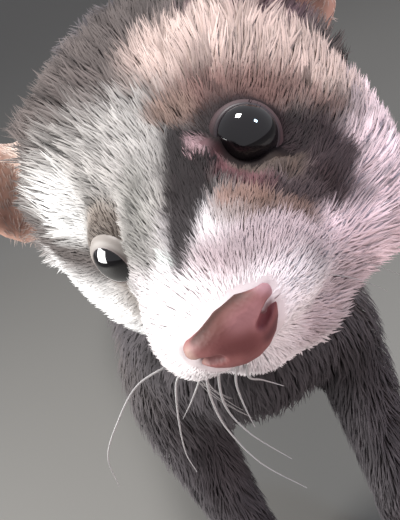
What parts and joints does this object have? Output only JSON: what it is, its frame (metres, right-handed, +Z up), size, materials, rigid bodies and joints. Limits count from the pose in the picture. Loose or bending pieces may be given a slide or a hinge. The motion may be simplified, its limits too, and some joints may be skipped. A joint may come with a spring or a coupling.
{
  "type": "ferret",
  "caption": "Life-size still model of a sable ferret, standing on all feet with its head raised, turned and tilted.",
  "frame": {"origin": "on the floor, under the middle of the animal's box", "axes": "+Z up, +X towards the animal's left side, +Y towards its tail; it faces -Y"},
  "size_m": [0.0862, 0.433, 0.1738],
  "materials": {
    "dark_coat": "dense dark charcoal-brown guard hair over a cream undercoat, matt with a soft sheen",
    "face_coat": "short pale fur with a dark mask round the eyes",
    "ear_skin": "thin bare pink skin with fine pale hair at the rim",
    "eye": "wet, near-black, mirror-smooth",
    "lid_skin": "moist grey-mauve skin at the rims of the lids",
    "nose_leather": "moist brick-pink pebbled skin",
    "claw": "translucent pale horn",
    "whisker": "stiff pale grey hair"
  },
  "bodies": {
    "root": {"head": "face_coat", "neck": "dark_coat", "chest": "dark_coat", "loin_and_hips": "dark_coat", "tail": "dark_coat", "ear_left": "ear_skin", "ear_right": "ear_skin", "eye_left": "eye", "eye_right": "eye", "nose": "nose_leather", "front_upper_leg_left": "dark_coat", "front_lower_leg_left": "dark_coat", "front_foot_left": "dark_coat", "front_upper_leg_right": "dark_coat", "front_lower_leg_right": "dark_coat", "front_foot_right": "dark_coat", "hind_upper_leg_left": "dark_coat", "hind_lower_leg_left": "dark_coat", "hind_foot_left": "dark_coat", "hind_upper_leg_right": "dark_coat", "hind_lower_leg_right": "dark_coat", "hind_foot_right": "dark_coat"}
  },
  "joints": []
}
